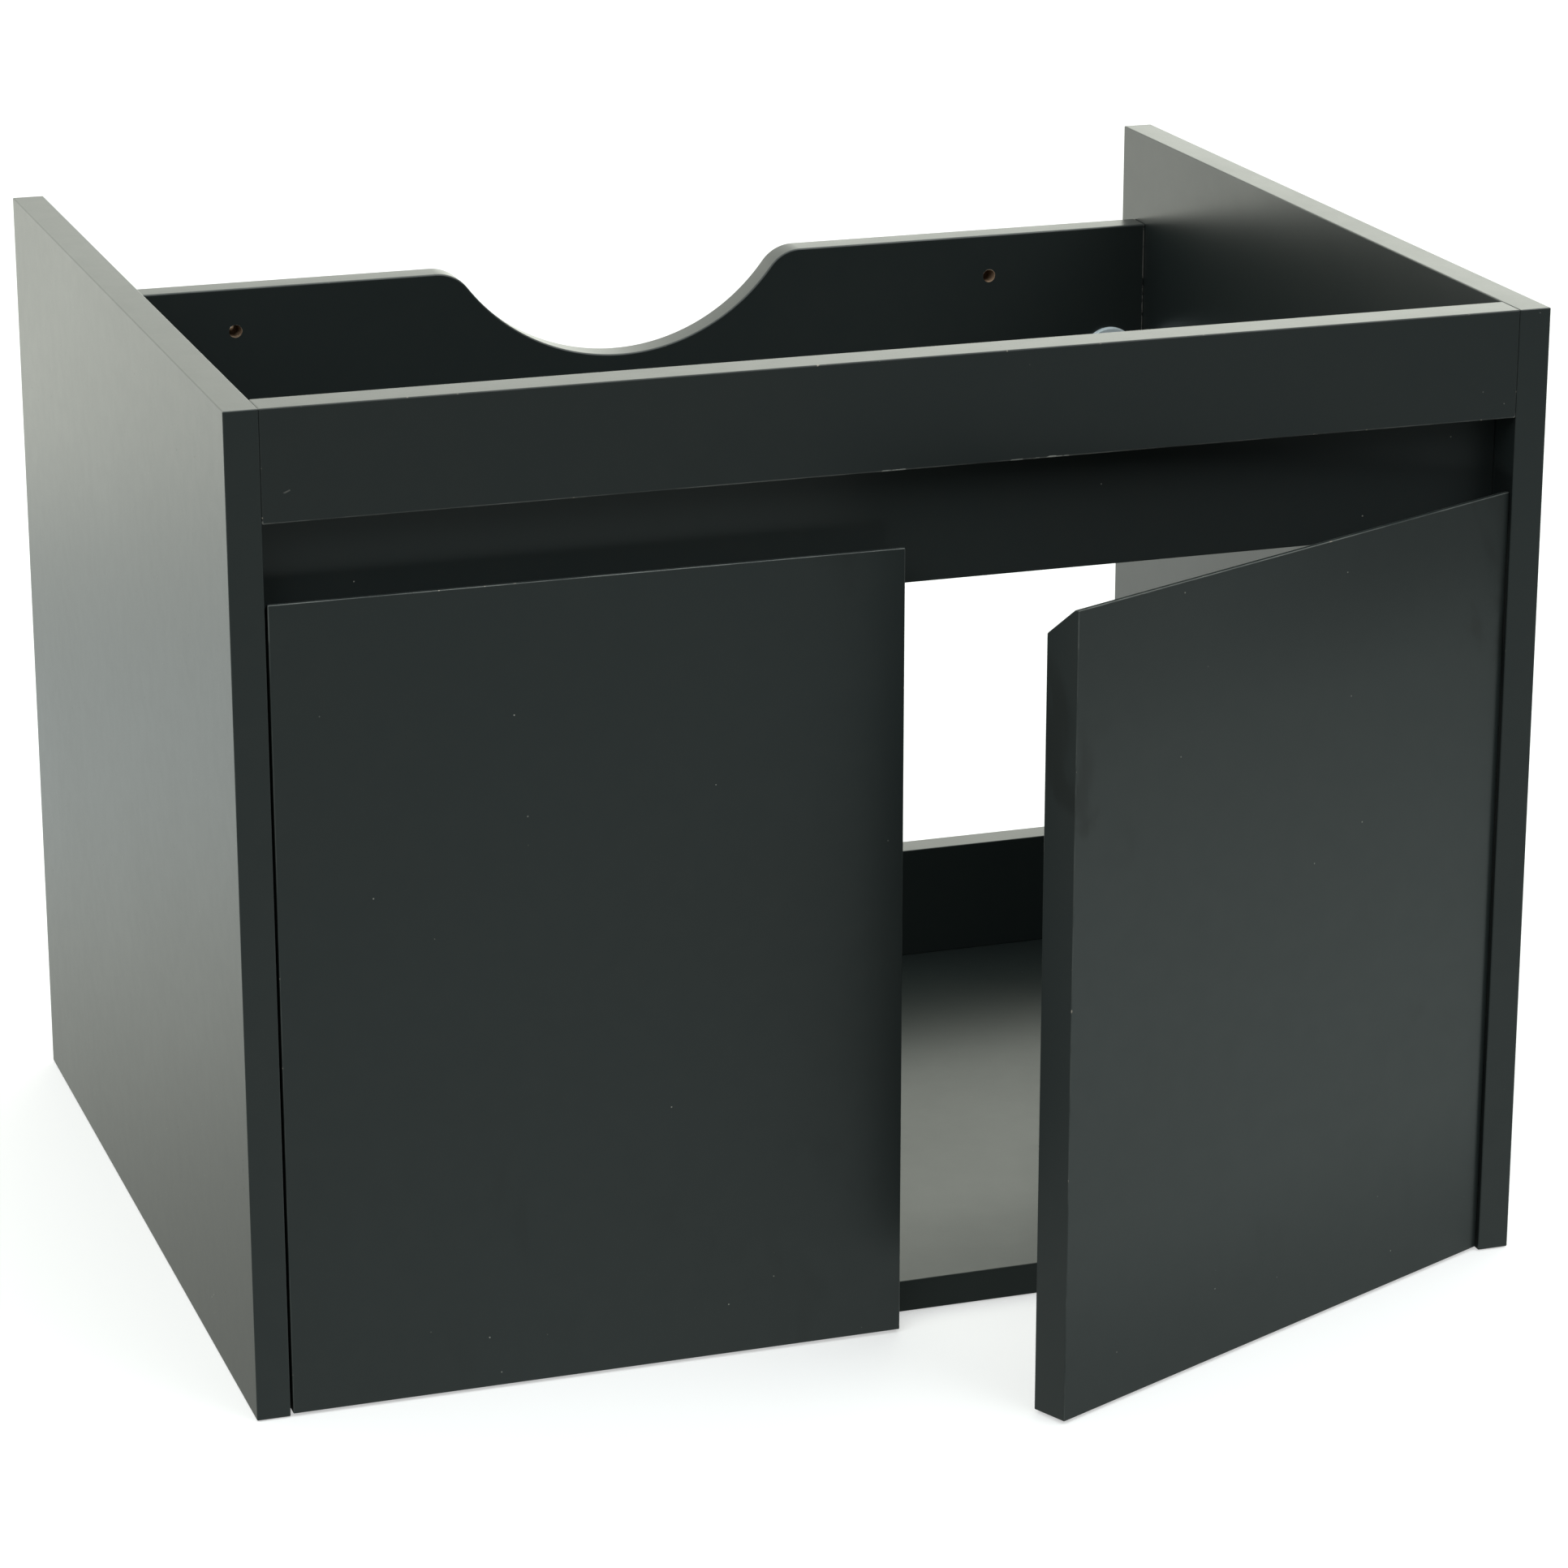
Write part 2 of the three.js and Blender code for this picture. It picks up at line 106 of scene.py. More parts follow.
def noise(t, vec, scale, detail=3.0, rough=0.5, dist=0.0):
    n = N(t, "ShaderNodeTexNoise")
    n.inputs["Scale"].default_value = scale
    n.inputs["Detail"].default_value = detail
    n.inputs["Roughness"].default_value = rough
    n.inputs["Distortion"].default_value = dist
    t.links.new(vec, n.inputs["Vector"])
    return n


def ramp(t, src, lo, hi, a=0.0, b=1.0, kind="SMOOTHSTEP"):
    m = N(t, "ShaderNodeMapRange", interpolation_type=kind)
    m.inputs["From Min"].default_value = lo
    m.inputs["From Max"].default_value = hi
    m.inputs["To Min"].default_value = a
    m.inputs["To Max"].default_value = b
    t.links.new(src, m.inputs["Value"])
    return m.outputs["Result"]


def math_(t, op, a, b=None, clamp=False):
    m = N(t, "ShaderNodeMath", operation=op, use_clamp=clamp)
    for i, v in enumerate((a, b)):
        if v is None:
            continue
        if isinstance(v, (int, float)):
            m.inputs[i].default_value = v
        else:
            t.links.new(v, m.inputs[i])
    return m.outputs[0]


def mix_col(t, fac, a, b):
    m = N(t, "ShaderNodeMix", data_type="RGBA")
    if isinstance(fac, (int, float)):
        m.inputs["Factor"].default_value = fac
    else:
        t.links.new(fac, m.inputs["Factor"])
    for s, v in ((6, a), (7, b)):
        if isinstance(v, tuple):
            m.inputs[s].default_value = (*v, 1.0)
        else:
            t.links.new(v, m.inputs[s])
    return m.outputs[2]


def bump(t, height, strength, distance, normal=None):
    b = N(t, "ShaderNodeBump")
    b.inputs["Strength"].default_value = strength
    b.inputs["Distance"].default_value = distance
    t.links.new(height, b.inputs["Height"])
    if normal is not None:
        t.links.new(normal, b.inputs["Normal"])
    return b.outputs["Normal"]


# ------------------------------------------------------------------ materials
def seg_mask(t, vec, a, b, w):
    """1 close to the line from a to b (mm), 0 outside w (mm)."""
    a, b = Vector(a) * MM, Vector(b) * MM
    ba = b - a
    pa = N(t, "ShaderNodeVectorMath", operation="SUBTRACT")
    t.links.new(vec, pa.inputs[0])
    pa.inputs[1].default_value = a
    dot = N(t, "ShaderNodeVectorMath", operation="DOT_PRODUCT")
    t.links.new(pa.outputs[0], dot.inputs[0])
    dot.inputs[1].default_value = ba / max(ba.length_squared, 1e-12)
    h = math_(t, "ADD", dot.outputs["Value"], 0.0, clamp=True)
    sc = N(t, "ShaderNodeVectorMath", operation="SCALE")
    sc.inputs[0].default_value = ba
    t.links.new(h, sc.inputs["Scale"])
    df = N(t, "ShaderNodeVectorMath", operation="DISTANCE")
    t.links.new(pa.outputs[0], df.inputs[0])
    t.links.new(sc.outputs[0], df.inputs[1])
    return ramp(t, df.outputs["Value"], w * 0.45 * MM, w * MM, 1.0, 0.0)


def board_paint(name, seed=0.0, rough=(0.285, 0.335), edge=0.25, smudge=0.0, dust_z=None, marks=(), holes=False, painted_shade=None, peel_depth=0.030, rub_and_highlight_top=None, rubbed_and_highlight_col=(0.105, 0.115, 0.110), rub_and_highlight_low=None, gloss_tint=None):
    """Sprayed satin lacquer on fibreboard: a near-black green-grey with fine orange peel, cloudy sheen,
    finger smears, specks of dust in the film, paler worn arrises that also carry a painted edge highlight, painted
    shade where a board or a door gap has to read darker, and bare brown board in drilled holes."""
    mat = bpy.data.materials.new(name)
    t = tree(mat)
    out = N(t, "ShaderNodeOutputMaterial")
    p = N(t, "ShaderNodeBsdfPrincipled")
    t.links.new(p.outputs[0], out.inputs["Surface"])
    if name.startswith("satin_door"):
        pa_ = N(t, "ShaderNodeAttribute")
        pa_.attribute_name = "paint_at"
        obj = pa_.outputs["Vector"]
    else:
        obj = N(t, "ShaderNodeTexCoord").outputs["Object"]
    mp = N(t, "ShaderNodeMapping")
    mp.inputs["Location"].default_value = (seed, seed * 0.7, -seed * 1.3)
    t.links.new(obj, mp.inputs["Vector"])
    v = mp.outputs[0]
    sx = N(t, "ShaderNodeSeparateXYZ")
    t.links.new(obj, sx.inputs[0])
    cloud = noise(t, v, 6.0, 4.0, 0.55)
    fine = noise(t, v, 90.0, 3.0, 0.6)
    grain = noise(t, v, 900.0, 2.0, 0.6)
    peel = noise(t, v, 560.0, 2.0, 0.5)
    wave = noise(t, v, 22.0, 1.0, 0.4)
    # colour: slow drift between a greener and a bluer black, with a fine warm and cool mottle
    drift = ramp(t, cloud.outputs["Fac"], 0.30, 0.70)
    base = mix_col(t, drift, (0.0160, 0.0222, 0.0226), (0.0182, 0.0238, 0.0230))
    mott = ramp(t, grain.outputs["Fac"], 0.32, 0.68)
    base = mix_col(t, math_(t, "MULTIPLY", mott, 0.55), base, (0.0205, 0.0222, 0.0208))
    shade = ramp(t, fine.outputs["Fac"], 0.3, 0.7, 0.0, 0.35)
    base = mix_col(t, shade, base, (0.0142, 0.0196, 0.0200))
    r = ramp(t, cloud.outputs["Fac"], 0.32, 0.68, rough[0], rough[1])
    r = math_(t, "ADD", r, ramp(t, fine.outputs["Fac"], 0.3, 0.7, -0.006, 0.006))
    r = math_(t, "ADD", r, ramp(t, grain.outputs["Fac"], 0.3, 0.7, -0.006, 0.006))
    nrm = bump(t, peel.outputs["Fac"], peel_depth, 0.00022)
    nrm = bump(t, wave.outputs["Fac"], 0.05, 0.0010, nrm)
    # finger smears: a few soft dark patches, mostly high up on the doors
    if smudge:
        sm = N(t, "ShaderNodeMapping")
        sm.inputs["Scale"].default_value = (1.0, 1.0, 0.55)
        sm.inputs["Rotation"].default_value = (0.0, 0.25, 0.0)
        t.links.new(v, sm.inputs["Vector"])
        s1 = noise(t, sm.outputs[0], 30.0, 3.0, 0.55, 0.7)
        s2 = noise(t, v, 5.0, 2.0, 0.5)
        patch = math_(t, "MULTIPLY", ramp(t, s1.outputs["Fac"], 0.56, 0.68), ramp(t, s2.outputs["Fac"], 0.50, 0.60))
        high = ramp(t, sx.outputs["Z"], 0.12, 0.30, 0.25, 1.0)
        patch = math_(t, "MULTIPLY", math_(t, "MULTIPLY", patch, high), smudge, clamp=True)
        base = mix_col(t, math_(t, "MULTIPLY", patch, 0.75), base, (0.0090, 0.0112, 0.0100))
        r = math_(t, "ADD", r, math_(t, "MULTIPLY", patch, 0.05))
    # dust nibs in the film
    vor = N(t, "ShaderNodeTexVoronoi", feature="F1")
    vor.inputs["Scale"].default_value = 190.0
    vor.inputs["Randomness"].default_value = 1.0
    t.links.new(v, vor.inputs["Vector"])
    near = ramp(t, vor.outputs["Distance"], 0.045, 0.085, 1.0, 0.0)
    sep = N(t, "ShaderNodeSeparateColor")
    t.links.new(vor.outputs["Color"], sep.inputs[0])
    some = ramp(t, sep.outputs[0], 0.982, 0.986)
    if dust_z is not None:
        low = math_(t, "LESS_THAN", sx.outputs["Z"], dust_z * MM)
        more = math_(t, "MULTIPLY", ramp(t, sep.outputs[0], 0.86, 0.87), low)
        some = math_(t, "MAXIMUM", some, more)
    nib = math_(t, "MULTIPLY", near, some)
    tone = ramp(t, sep.outputs[1], 0.0, 1.0, 0.25, 1.0)
    base = mix_col(t, math_(t, "MULTIPLY", nib, tone), base, (0.30, 0.30, 0.27))
    # worn arrises with a painted highlight: a paler line along the rounded edges stands partly for thinned paint and
    # partly for the light the edges catch, with a few chips showing primer
    at = N(t, "ShaderNodeAttribute")
    at.attribute_name = "arris"
    along = noise(t, v, 26.0, 4.0, 0.65)
    rub_and_highlight = math_(t, "MULTIPLY", at.outputs["Fac"], ramp(t, along.outputs["Fac"], 0.36, 0.62, 0.25, 1.0))
    # the pale worn line and painted edge highlight fade out above the given height (kept to the fascia's bottom edge)
    if rub_and_highlight_top is not None:
        rub_and_highlight = math_(t, "MULTIPLY", rub_and_highlight, ramp(t, sx.outputs["Z"], (rub_and_highlight_top - 1.0) * MM, rub_and_highlight_top * MM, 1.0, 0.06))
    # the pale worn line and painted edge highlight are at full strength only near the top of the door
    if rub_and_highlight_low is not None:
        rub_and_highlight = math_(t, "MULTIPLY", rub_and_highlight, ramp(t, sx.outputs["Z"], (rub_and_highlight_low - 2.0) * MM, rub_and_highlight_low * MM, 0.45, 1.0))
    base = mix_col(t, math_(t, "MULTIPLY", rub_and_highlight, edge), base, rubbed_and_highlight_col)
    chipn = noise(t, v, 170.0, 3.0, 0.7)
    chip = math_(t, "MULTIPLY", at.outputs["Fac"], ramp(t, chipn.outputs["Fac"], 0.665, 0.70))
    base = mix_col(t, math_(t, "MULTIPLY", chip, min(1.0, edge * 1.3)), base, (0.34, 0.30, 0.25))
    r = math_(t, "ADD", r, math_(t, "MULTIPLY", nib, 0.2))
    for a, b, w, col, amount in marks:
        mk = seg_mask(t, obj, a, b, w)
        mk = math_(t, "MULTIPLY", mk, ramp(t, chipn.outputs["Fac"], 0.40, 0.50, 0.0, amount))
        base = mix_col(t, mk, base, col)
        r = math_(t, "ADD", r, math_(t, "MULTIPLY", mk, 0.25))
    spec = None
    if painted_shade:
        # painted shade: a darker, duller film inside the door rebates and gaps, and where a board has to read darker
        m = None
        for group in painted_shade(t, sx):
            g = None
            for fac, lo, hi, a_, b_ in group:
                q = ramp(t, fac, lo * MM, hi * MM, a_, b_)
                g = q if g is None else math_(t, "MULTIPLY", g, q)
            m = g if m is None else math_(t, "MAXIMUM", m, g)
        r = math_(t, "ADD", r, math_(t, "MULTIPLY", m, 0.45), clamp=True)
        spec = math_(t, "SUBTRACT", 0.5, math_(t, "MULTIPLY", m, 0.44))
        # painted shade: the base colour is pulled towards near-black under the mask
        base = mix_col(t, math_(t, "MULTIPLY", m, 0.6), base, (0.0075, 0.0090, 0.0092))
    nrm = bump(t, nib, 0.5, 0.0002, nrm)
    if holes:
        # bare fibreboard inside the two wall-screw holes
        ax = math_(t, "ABSOLUTE", sx.outputs["X"])
        dx = math_(t, "SUBTRACT", ax, WALL_HOLE_X * MM)
        dz = math_(t, "SUBTRACT", sx.outputs["Z"], WALL_HOLE_Z * MM)
        dd = math_(t, "SQRT", math_(t, "ADD", math_(t, "MULTIPLY", dx, dx), math_(t, "MULTIPLY", dz, dz)))
        fibre = noise(t, obj, 1400.0, 3.0, 0.7)
        wood = mix_col(t, fibre.outputs["Fac"], (0.14, 0.088, 0.056), (0.54, 0.385, 0.265))
        edge_n = ramp(t, fine.outputs["Fac"], 0.3, 0.7, 0.0, 0.25 * MM)
        inside = ramp(t, math_(t, "ADD", dd, edge_n), (WALL_HOLE_R + 0.10) * MM, (WALL_HOLE_R + 0.32) * MM, 1.0, 0.0)
        base = mix_col(t, inside, base, wood)
        r = math_(t, "ADD", r, math_(t, "MULTIPLY", inside, 0.6), clamp=True)
        nrm = bump(t, math_(t, "MULTIPLY", fibre.outputs["Fac"], inside), 0.6, 0.0006, nrm)
        spec = math_(t, "SUBTRACT", 0.5, math_(t, "MULTIPLY", inside, 0.42))
    t.links.new(base, p.inputs["Base Color"])
    t.links.new(r, p.inputs["Roughness"])
    t.links.new(nrm, p.inputs["Normal"])
    if spec is not None:
        t.links.new(spec, p.inputs["Specular IOR Level"])
    p.inputs["IOR"].default_value = 1.5
    if gloss_tint is not None:
        p.inputs["Specular Tint"].default_value = (*gloss_tint, 1.0)
    return mat


def plated_steel(name, tint=(0.66, 0.66, 0.64), rough=0.26, grain=(900.0, 900.0, 900.0)):
    """Nickel or zinc plate over stamped steel: soft brightness drift, drawing marks and small stains."""
    mat = bpy.data.materials.new(name)
    t = tree(mat)
    out = N(t, "ShaderNodeOutputMaterial")
    p = N(t, "ShaderNodeBsdfPrincipled")
    t.links.new(p.outputs[0], out.inputs["Surface"])
    tc = N(t, "ShaderNodeTexCoord")
    mp = N(t, "ShaderNodeMapping")
    mp.inputs["Scale"].default_value = grain
    t.links.new(tc.outputs["Object"], mp.inputs["Vector"])
    streak = noise(t, mp.outputs[0], 1.0, 3.0, 0.6)
    blot = noise(t, tc.outputs["Object"], 90.0, 3.0, 0.55)
    k = ramp(t, blot.outputs["Fac"], 0.35, 0.7)
    dark = tuple(c * 0.88 for c in tint)
    base = mix_col(t, k, tint, dark)
    r = ramp(t, streak.outputs["Fac"], 0.3, 0.7, rough - 0.03, rough + 0.05)
    r = math_(t, "ADD", r, math_(t, "MULTIPLY", k, 0.08))
    t.links.new(base, p.inputs["Base Color"])
    t.links.new(r, p.inputs["Roughness"])
    p.inputs["Metallic"].default_value = 1.0
    t.links.new(bump(t, streak.outputs["Fac"], 0.008, 0.0002), p.inputs["Normal"])
    return mat


def pale_plastic(name):
    """Moulded pale blue-grey plastic with a fine matt skin and slightly cloudy body."""
    mat = bpy.data.materials.new(name)
    t = tree(mat)
    out = N(t, "ShaderNodeOutputMaterial")
    p = N(t, "ShaderNodeBsdfPrincipled")
    t.links.new(p.outputs[0], out.inputs["Surface"])
    tc = N(t, "ShaderNodeTexCoord")
    a = noise(t, tc.outputs["Object"], 160.0, 3.0, 0.5)
    b = noise(t, tc.outputs["Object"], 2600.0, 2.0, 0.5)
    k = ramp(t, a.outputs["Fac"], 0.3, 0.7)
    base = mix_col(t, k, (0.66, 0.75, 0.80), (0.74, 0.81, 0.85))
    t.links.new(base, p.inputs["Base Color"])
    t.links.new(ramp(t, b.outputs["Fac"], 0.3, 0.7, 0.36, 0.48), p.inputs["Roughness"])
    t.links.new(bump(t, b.outputs["Fac"], 0.15, 0.0002), p.inputs["Normal"])
    p.inputs["Subsurface Weight"].default_value = 0.15
    p.inputs["Subsurface Radius"].default_value = (0.002, 0.002, 0.002)
    return mat


def soft_buffer(name):
    """Clear soft polyurethane buffer, slightly yellowed and dusty."""
    mat = bpy.data.materials.new(name)
    t = tree(mat)
    out = N(t, "ShaderNodeOutputMaterial")
    p = N(t, "ShaderNodeBsdfPrincipled")
    t.links.new(p.outputs[0], out.inputs["Surface"])
    tc = N(t, "ShaderNodeTexCoord")
    a = noise(t, tc.outputs["Object"], 700.0, 3.0, 0.6)
    k = ramp(t, a.outputs["Fac"], 0.35, 0.7)
    t.links.new(mix_col(t, k, (0.55, 0.56, 0.52), (0.68, 0.69, 0.66)), p.inputs["Base Color"])
    t.links.new(ramp(t, a.outputs["Fac"], 0.3, 0.7, 0.22, 0.40), p.inputs["Roughness"])
    p.inputs["Transmission Weight"].default_value = 0.55
    p.inputs["IOR"].default_value = 1.49
    return mat


def gap_painted_shade(inner_from):
    """Painted shade on the inner faces of the side panels in the door gaps: the first 20 mm behind the front, below the
    grip recess.
    """
    def f(t, sx):
        ax = math_(t, "ABSOLUTE", sx.outputs["X"])
        return [[(ax, inner_from + 0.15, inner_from + 0.8, 1.0, 0.0),
                 (sx.outputs["Y"], Y0 + 17.0, Y0 + 24.0, 1.0, 0.0),
                 (sx.outputs["Y"], Y0 + 0.2, Y0 + 0.9, 0.0, 1.0),
                 (sx.outputs["Z"], 372.0, 380.0, 1.0, 0.0)]]
    return f


CHIP = (0.42, 0.42, 0.39)
# side panels: painted shade on their inner faces in the door gaps; the dark line low on the left panel is a scratch
M_SIDE_L = board_paint("satin_side_left", 0.0, (0.289, 0.302), 0.12, painted_shade=gap_painted_shade(IN), peel_depth=0.005,
                       marks=[((-300, -219.2, 118.0), (-300, -220.0, 104.0), 0.35, (0.012, 0.014, 0.014), 0.9)])
M_SIDE_R = board_paint("satin_side_right", 3.7, (0.290, 0.320), 0.12, painted_shade=gap_painted_shade(IN), peel_depth=0.006)
# bottom board: painted shade on its front edge face, and its top darker towards the front
M_BASE = board_paint("satin_base", 8.1, (0.290, 0.325), 0.35, gloss_tint=(0.955, 1.0, 0.945),
                     painted_shade=lambda t, sx: [[(sx.outputs["Y"], Y0 + BOTTOM_Y + 0.2, Y0 + BOTTOM_Y + 0.9, 0.45, 0.0)],
                                         [(sx.outputs["Y"], Y0 + BOTTOM_Y, Y0 + 120.0, 0.11, 0.0)]])
# recess rail: painted shade, darker towards the right
M_RECESS = board_paint("satin_recess", 2.9, (0.290, 0.325), 0.20, painted_shade=lambda t, sx: [[(sx.outputs["X"], -30.0, 110.0, 0.08, 0.44)]])
# fascia: painted shade darkens the front face; a strong pale line along the bottom edge is worn paint with a painted
# highlight; the listed marks are paint chips and a pale scuff
M_FASCIA = board_paint("satin_fascia", 6.4, (0.289, 0.305), 0.85, smudge=0.35, peel_depth=0.010, rub_and_highlight_top=403.0, painted_shade=lambda t, sx: [[(sx.outputs["Y"], Y0 + 0.3, Y0 + 0.9, 0.26, 0.0)]], rubbed_and_highlight_col=(0.20, 0.20, 0.19),
                       marks=[((45.0, -229.8, 401.15), (71.0, -229.8, 401.15), 0.70, CHIP, 0.85),
                              ((58.0, -229.8, 401.25), (65.0, -229.8, 401.15), 0.95, CHIP, 1.0),
                              ((-14.0, -229.8, 401.15), (-4.0, -229.8, 401.15), 0.75, CHIP, 0.85),
                              ((-276.5, -230.0, 413.3), (-273.0, -230.0, 414.8), 0.45, (0.11, 0.11, 0.10), 0.85)])
M_LOW = board_paint("satin_rail", 4.6, (0.290, 0.325), 0.25)
# the mark is a pale line down the rail's right end beside the side panel: partly chipped paint, partly a painted
# highlight
M_RAIL = board_paint("satin_rail_drilled", 5.3, (0.290, 0.325), 0.25, holes=True,
                     marks=[((284.7, 199.0, 403.2), (284.7, 199.0, 290.0), 0.85, (0.26, 0.25, 0.23), 0.8)])
M_STEEL = plated_steel("nickel_plate", (0.68, 0.67, 0.64), 0.31, (500.0, 700.0, 1300.0))
M_CUP = plated_steel("nickel_plate_cup", (0.62, 0.61, 0.59), 0.33)
M_SCREW = plated_steel("zinc_plate", (0.66, 0.67, 0.68), 0.28)
M_PLASTIC = pale_plastic("moulded_plastic")
M_BUFFER = soft_buffer("clear_buffer")


# ------------------------------------------------------------------ mesh helpers
def new_obj(name, bm, mat, smooth=True):
    me = bpy.data.meshes.new(name)
    bm.normal_update()
    bm.to_mesh(me)
    bm.free()
    if smooth:
        me.polygons.foreach_set("use_smooth", [True] * len(me.polygons))
    o = bpy.data.objects.new(name, me)
    coll.objects.link(o)
    me.materials.append(mat)
    return o


def arris(o, plain):
    """Stores 1 on the rounded edges' inner points and 0 on the flat faces, for the paint's worn edges with their
    painted highlight and chips.
    """
    me = o.data
    val = [1.0] * len(me.vertices)
    for f in me.polygons:
        if plain(f.normal):
            for i in f.vertices:
                val[i] = 0.0
    at = me.attributes.new("arris", "FLOAT", "POINT")
    at.data.foreach_set("value", val)
    return o


def square_on(n):
    return max(abs(n.x), abs(n.y), abs(n.z)) > 0.9995


def weighted(o):
    m = o.modifiers.new("normals", "WEIGHTED_NORMAL")
    m.mode = "FACE_AREA"
    m.weight = 100
    m.keep_sharp = True
    return o


def apply_all(o):
    """Bakes the object's modifiers into its mesh."""
    dg = bpy.context.evaluated_depsgraph_get()
    me = bpy.data.meshes.new_from_object(o.evaluated_get(dg))
    old = o.data
    o.modifiers.clear()
    o.data = me
    bpy.data.meshes.remove(old)
    return o


def box_bm(x0, x1, y0, y1, z0, z1):
    bm = bmesh.new()
    bmesh.ops.create_cube(bm, size=1.0)
    for v in bm.verts:
        v.co = Vector(((x0 if v.co.x < 0 else x1), (y0 if v.co.y < 0 else y1), (z0 if v.co.z < 0 else z1))) * MM
    return bm


def round_edges(bm, r, seg=3, pick=None, angle=25.0):
    lim = math.radians(angle)
    edges = []
    for e in bm.edges:
        if len(e.link_faces) == 2 and e.calc_face_angle(0.0) > lim and (pick is None or pick(e)):
            edges.append(e)
    bmesh.ops.bevel(bm, geom=edges, offset=r * MM, offset_type="OFFSET", segments=seg, profile=0.5,
                    affect="EDGES", clamp_overlap=True)
    return bm


def board(name, mat, x0, x1, y0, y1, z0, z1, r=0.6, seg=3):
    bm = round_edges(box_bm(x0, x1, y0, y1, z0, z1), r, seg)
    return weighted(arris(new_obj(name, bm, mat), square_on))


def prism_bm(pts, axis, a, b):
    """Closed outline extruded along an axis. Points are (y, z), (x, z) or (x, y) for axis x, y or z."""
    def at(p, q, s):
        return {"x": (s, p, q), "y": (p, s, q), "z": (p, q, s)}[axis]
    bm = bmesh.new()
    lo = [bm.verts.new(Vector(at(p, q, a)) * MM) for p, q in pts]
    f = bm.faces.new(lo)
    r = bmesh.ops.extrude_face_region(bm, geom=[f])
    shift = {"x": (b - a, 0, 0), "y": (0, b - a, 0), "z": (0, 0, b - a)}[axis]
    bmesh.ops.translate(bm, verts=[v for v in r["geom"] if isinstance(v, bmesh.types.BMVert)], vec=Vector(shift) * MM)
    bmesh.ops.recalc_face_normals(bm, faces=bm.faces)
    return bm


def cyl_bm(axis, r, a, b, p, q, seg=64, r2=None):
    bm = bmesh.new()
    bmesh.ops.create_cone(bm, cap_ends=True, segments=seg, radius1=r * MM, radius2=(r if r2 is None else r2) * MM,
                          depth=(b - a) * MM)
    bm.transform(Matrix.Translation(Vector((0, 0, (a + b) / 2 * MM))))
    if axis == "x":
        bm.transform(Matrix(((0, 0, 1, 0), (1, 0, 0, p * MM), (0, 1, 0, q * MM), (0, 0, 0, 1))))
    elif axis == "y":
        bm.transform(Matrix(((1, 0, 0, p * MM), (0, 0, 1, 0), (0, -1, 0, q * MM), (0, 0, 0, 1))))
    else:
        bm.transform(Matrix.Translation(Vector((p * MM, q * MM, 0))))
    bmesh.ops.recalc_face_normals(bm, faces=bm.faces)
    return bm


def boolean(o, tools, op="DIFFERENCE"):
    """Cuts or joins tool meshes into the object, then bakes the result."""
    temp = []
    for i, bm in enumerate(tools):
        c = new_obj("tool", bm, o.data.materials[0], smooth=False)
        m = o.modifiers.new(f"b{i}", "BOOLEAN")
        m.operation = op
        m.object = c
        m.solver = "EXACT"
        temp.append(c)
    bpy.context.view_layer.update()
    apply_all(o)
    for c in temp:
        me = c.data
        bpy.data.objects.remove(c)
        bpy.data.meshes.remove(me)
    return o


def sharpen(o, degrees=32.0):
    """Marks edges sharper than the angle, so weighted normals keep them crisp."""
    bm = bmesh.new()
    bm.from_mesh(o.data)
    lim = math.radians(degrees)
    for e in bm.edges:
        if len(e.link_faces) == 2:
            e.smooth = e.calc_face_angle(0.0) < lim
    bm.to_mesh(o.data)
    bm.free()
    o.data.polygons.foreach_set("use_smooth", [True] * len(o.data.polygons))
    return o


def place(o, body, slot, *nodes):
    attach(o, body)
    if nodes:
        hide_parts(*nodes)
    return o


# ------------------------------------------------------------------ carcass boards
place(board("side_left", M_SIDE_L, -W / 2, -IN, Y0, Y0 + D, 0, H, 0.55), "carcass", "board", "side_panel_left")
place(board("side_right", M_SIDE_R, IN, W / 2, Y0, Y0 + D, 0, H, 0.55), "carcass", "board", "side_panel_right")
place(board("bottom", M_BASE, -IN, IN, Y0 + BOTTOM_Y, Y0 + D, 0, T, 0.5), "carcass", "board", "bottom_panel")
place(board("rail_lower", M_LOW, -IN, IN, Y0 + RAIL_Y1 - T, Y0 + RAIL_Y1, T, LOWER_Z1, 0.5), "carcass", "board", "back_rail_lower")
place(board("fascia", M_FASCIA, -IN, IN, Y0, Y0 + FRONT, FASCIA_Z0, H, 0.7, 4), "carcass", "board", "front_fascia")
place(board("recess", M_RECESS, -IN, IN, Y0 + RECESS_Y, Y0 + RECESS_Y + T, RECESS_Z0, RECESS_Z1, 0.6), "carcass", "board", "recess_rail")


